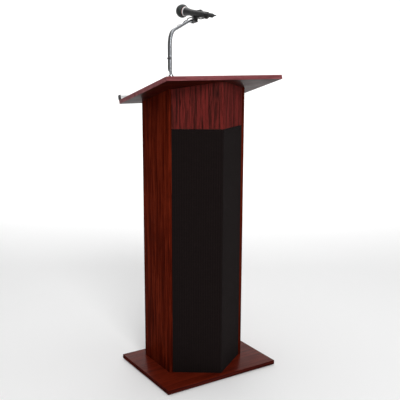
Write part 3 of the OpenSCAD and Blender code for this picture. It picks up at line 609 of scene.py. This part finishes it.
def band(name, centre, along, body, half=2.2):
    """Small strap that holds the lead to the gooseneck: an oval loop round both."""
    along = np.array(along, float) / np.linalg.norm(along)
    across = turn_z(NECK_HEADING, (0, 1, 0))
    third = np.cross(along, across)
    middle = np.array(centre) + across * CABLE_SIDE / 2
    outline = []
    for k in range(28):
        a = 2 * math.pi * k / 28
        outline.append((math.cos(a) * (NECK_R + 0.5) + (CABLE_SIDE / 2 if math.cos(a) > 0 else -CABLE_SIDE / 2) * 0.62,
                        math.sin(a) * (NECK_R + 0.5) * (0.82 if math.cos(a) > 0.3 else 1.0)))
    verts = []
    for grow, place in ((1.0, -half), (1.08, -half + 0.6), (1.08, half - 0.6), (1.0, half), (0.9, half), (0.9, -half)):
        for x, y in outline:
            verts.append(middle + along * place + across * x * grow + third * y * grow)
    faces = []
    for i in range(6):
        for k in range(28):
            faces.append((i * 28 + k, i * 28 + (k + 1) % 28, ((i + 1) % 6) * 28 + (k + 1) % 28, ((i + 1) % 6) * 28 + k))
    return add_mesh(name, verts, faces, MATS["black_plastic"], body)


up = (0, 0, 1)
climb = turn_z(NECK_HEADING, (math.cos(CLIMB), 0, math.sin(CLIMB)))
band("lead_band_low", at_neck(0, 0, 1230), up, "neck_lower")
band("lead_band_high", at_neck(105, 0, climb_z(105)), climb, "neck_upper")


# ---------------------------------------------------------------- microphone
def mic_place(x, y, z):
    return at_mic((x, y, MIC_RISE + z))


def knurled_outline(start, end, r0, r1, grooves, depth):
    """Outline between two places along the axis with shallow grooves cut into it."""
    out = []
    n = grooves * 6
    for i in range(n + 1):
        t = i / n
        r = r0 + (r1 - r0) * t - depth * max(0.0, math.sin(2 * math.pi * grooves * t - math.pi / 2)) ** 4
        out.append((r, start + (end - start) * t))
    return out


body_outline = [(0.0, TAIL_Y), (9.4, TAIL_Y), (10.1, TAIL_Y + 0.6), (10.6, TAIL_Y + 1.6)]
body_outline += knurled_outline(TAIL_Y + 3, TAIL_Y + 12, 10.9, 11.0, 4, 0.5)
body_outline += [(11.1, -50), (11.25, -30), (11.45, 0), (11.6, 20), (12.1, 25.5), (12.6, 30), (13.9, 39.5), (15.3, 47.5),
                 (15.9, 50.6), (16.3, 52.6), (16.35, 53.6), (16.0, 54.0), (14.4, 54.0)]
mic_body = lathe("mic_body_turned", body_outline, mic_place, MATS["mic_enamel"], "microphone", 72)
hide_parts("mic_body")

head_cut = math.acos((HEAD_Y - 60.1) / HEAD_R)
head_outline = [((HEAD_R - 0.25) * math.sin(a), HEAD_Y - (HEAD_R - 0.25) * math.cos(a))
                for a in np.linspace(head_cut, math.pi, 60)]
head = lathe("mic_head_mesh", head_outline, mic_place, MATS["mic_mesh"], "microphone", 96)
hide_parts("mic_head_grille")
belt = [(HEAD_R - 0.6, HEAD_Y - 3.4), (HEAD_R - 0.1, HEAD_Y - 3.0), (HEAD_R, HEAD_Y - 2.4), (HEAD_R, HEAD_Y + 0.4),
        (HEAD_R - 0.1, HEAD_Y + 1.0), (HEAD_R - 0.6, HEAD_Y + 1.4)]
lathe("mic_head_belt", belt, mic_place, MATS["mic_enamel"], "microphone", 96)
collar = [(14.0, 54.1), (16.8, 54.1), (17.6, 54.5), (18.5, 55.4), (18.6, 56.2), (18.6, 57.6), (18.3, 57.9)]
lathe("mic_collar_white", collar, mic_place, MATS["white_ring"], "microphone", 72)
accent = [(17.9, 57.9), (18.5, 58.0), (18.6, 58.4), (18.5, 59.3), (17.4, 59.9), (14.0, 60.0)]
accent_piece = lathe("mic_collar_accent", accent, mic_place, MATS["red_ring"], "microphone", 72)
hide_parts("mic_collar_ring")


def boss():
    """Raised seat of the microphone's sliding switch, rounded at both ends."""
    verts, faces = [], []
    rows = [(0.0, 1.0), (2.6, 1.0), (3.0, 0.93), (3.2, 0.80)]
    count = 40
    for lift, share in rows:
        for k in range(count):
            a = 2 * math.pi * k / count
            x = 5.0 * share * math.copysign(abs(math.cos(a)) ** 0.6, math.cos(a))
            y = -25.0 + 13.0 * (1 - (1 - share) * 0.4) * math.copysign(abs(math.sin(a)) ** 0.6, math.sin(a))
            verts.append(at_mic((x, y, MIC_RISE + 10.0 + lift)))
    for i in range(len(rows) - 1):
        for k in range(count):
            faces.append((i * count + k, i * count + (k + 1) % count, (i + 1) * count + (k + 1) % count, (i + 1) * count + k))
    faces.append(tuple((len(rows) - 1) * count + k for k in range(count)))
    return add_mesh("mic_switch_seat", verts, faces, MATS["mic_enamel"], "microphone")


boss()
plug_outline = [(0.0, PLUG_Y - 5), (4.6, PLUG_Y - 5), (5.6, PLUG_Y - 4), (8.0, PLUG_Y)]
plug_outline += knurled_outline(PLUG_Y + 1, TAIL_Y - 6, 8.0, 8.0, 5, 0.45)
plug_outline += [(7.9, TAIL_Y - 3), (7.6, TAIL_Y - 0.3), (0.0, TAIL_Y - 0.2)]
plug = lathe("mic_plug_turned", plug_outline, mic_place, MATS["black_plastic"], "microphone", 48)
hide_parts("mic_plug")


def outlet_place(x, y, z):
    return at_mic((y, PLUG_Y + 8 + x, MIC_RISE + z))


boot = [(0.0, 3.0), (5.0, 3.0), (5.0, 12.4), (4.6, 13.0), (4.2, 13.2)]
boot += [(4.1 - 0.22 * i + (0.28 if i % 2 else 0.0), 13.6 + 0.8 * i) for i in range(8)]
boot += [(2.5, 20.0), (2.25, 20.1)]
lathe("mic_plug_boot", boot, outlet_place, MATS["rubber"], "microphone", 32)


# ---------------------------------------------------------------- marks on the control panel
def panel_arc(x, z, radius, width, start, end, steps=40, lift=0.12):
    verts, faces = [], []
    for i in range(steps + 1):
        a = math.radians(start + (end - start) * i / steps)
        for r in (radius, radius + width):
            for y in (PANEL_FACE, PANEL_FACE + lift):
                verts.append((x + r * math.sin(a), y, z + r * math.cos(a)))
    for i in range(steps):
        q, n = 4 * i, 4 * (i + 1)
        faces += [(q + 1, q + 3, n + 3, n + 1), (q, q + 1, n + 1, n), (q + 3, q + 2, n + 2, n + 3)]
    return verts, faces


def knob_scale(name, x, z):
    """Printed dial round a knob: eleven ticks that lengthen with every fifth, and a fine arc."""
    verts, faces = panel_arc(x, z, 15.2, 0.5, -150, 150)
    for i in range(11):
        a = math.radians(-150 + 30 * i)
        reach = 19.4 if i % 5 == 0 else 18.0
        n = len(verts)
        for r in (15.4, reach):
            for s in (-0.35, 0.35):
                verts.append((x + r * math.sin(a) + s * math.cos(a), PANEL_FACE + 0.13,
                              z + r * math.cos(a) - s * math.sin(a)))
        faces.append((n, n + 1, n + 3, n + 2))
    return add_mesh(name, verts, faces, MATS["white_ring"], "lectern", smooth=False)


for title, x in (("scale_first", 40), ("scale_second", 0), ("scale_third", -40)):
    knob_scale(title, x, CONTROL_Z)
for title, x in (("ring_first", 120), ("ring_second", 90)):
    verts, faces = panel_arc(x, CONTROL_Z, 10.2, 0.6, 0, 360, 48)
    add_mesh(title, verts, faces, MATS["white_ring"], "lectern", smooth=False)
verts, faces = [], []
for x0, x1, z0, z1 in ((-146, 146, 1048, 1048.7), (-146, 146, 952, 952.7),
                       (-146, -145.3, 952, 1048.7), (145.3, 146, 952, 1048.7)):
    n = len(verts)
    verts += [(x0, PANEL_FACE + 0.12, z0), (x1, PANEL_FACE + 0.12, z0),
              (x1, PANEL_FACE + 0.12, z1), (x0, PANEL_FACE + 0.12, z1)]
    faces.append((n, n + 1, n + 2, n + 3))
add_mesh("panel_border", verts, faces, MATS["white_ring"], "lectern", smooth=False)


# ---------------------------------------------------------------- stage, camera and light
def stage_plane():
    """Pale floor that rises into a pale wall far behind the object."""
    verts, faces = [], []
    profile = [(-9.0, 0.0), (6.0, 0.0)]
    profile += [(6.0 + 3.0 * math.sin(a), 3.0 - 3.0 * math.cos(a)) for a in np.linspace(0.1, math.pi / 2, 12)]
    profile.append((9.0, 9.0))
    spin = math.radians(-32.4)
    for x in (-11.0, 11.0):
        for y, z in profile:
            verts.append((x * math.cos(spin) - y * math.sin(spin), x * math.sin(spin) + y * math.cos(spin), z))
    n = len(profile)
    for i in range(n - 1):
        faces.append((i, i + 1, n + i + 1, n + i))
    mesh = bpy.data.meshes.new("stage_floor")
    mesh.from_pydata(verts, [], faces)
    p = Paint("stage_paint", Roughness=0.7)
    p.set("Base Color", p.mix(p.noise(p.place, 0.8, 3.0), (0.90, 0.90, 0.90), (0.93, 0.93, 0.93)))
    mesh.materials.append(p.mat)
    mesh.shade_smooth()
    obj = bpy.data.objects.new("stage_floor", mesh)
    bpy.context.scene.collection.objects.link(obj)


def area_light(name, place, target, size, power, colour=(1, 1, 1)):
    data = bpy.data.lights.new(name, "AREA")
    data.shape = "RECTANGLE"
    data.size, data.size_y = size
    data.energy = power
    data.color = colour
    obj = bpy.data.objects.new(name, data)
    bpy.context.scene.collection.objects.link(obj)
    obj.location = place
    obj.rotation_euler = (Vector(target) - Vector(place)).to_track_quat("-Z", "Y").to_euler()


for old in [o for o in bpy.data.objects if o.type in {"LIGHT", "CAMERA"}]:
    bpy.data.objects.remove(old)
stage_plane()
area_light("key", (-1.2, -3.8, 3.4), (0, 0, 1.0), (1.6, 1.6), 100)
area_light("top_fill", (0.6, 0.8, 4.6), (0.6, 0.8, 0.0), (5.0, 5.0), 105)
area_light("wall_light", (1.7, 2.9, 4.4), (4.9, 7.9, 1.6), (6.0, 2.0), 330)
area_light("right_fill", (3.4, -1.6, 1.7), (0, 0, 0.8), (1.6, 2.4), 4)

world = bpy.data.worlds.new("studio")
bpy.context.scene.world = world
world.use_nodes = True
world.node_tree.nodes["Background"].inputs["Color"].default_value = (1.0, 1.0, 1.0, 1.0)
world.node_tree.nodes["Background"].inputs["Strength"].default_value = 0.36

camera = bpy.data.cameras.new("photo_camera")
camera.lens, camera.sensor_width = 61.65, 36.0
camera.clip_start, camera.clip_end = 0.05, 60.0
eye = bpy.data.objects.new("photo_camera", camera)
bpy.context.scene.collection.objects.link(eye)
yaw, pitch, roll = math.radians(32.44), math.radians(11.79), math.radians(0.17)
forward = Vector((math.sin(yaw) * math.cos(pitch), math.cos(yaw) * math.cos(pitch), -math.sin(pitch)))
right = forward.cross(Vector((0, 0, 1))).normalized()
over = right.cross(forward)
basis = Matrix((right, over, -forward)).transposed()
eye.matrix_world = Matrix.Translation((-1.4117, -2.23375, 1.2349)) @ basis.to_4x4() @ Matrix.Rotation(roll, 4, "Z")
bpy.context.scene.camera = eye
bpy.context.scene.view_settings.view_transform = "Standard"
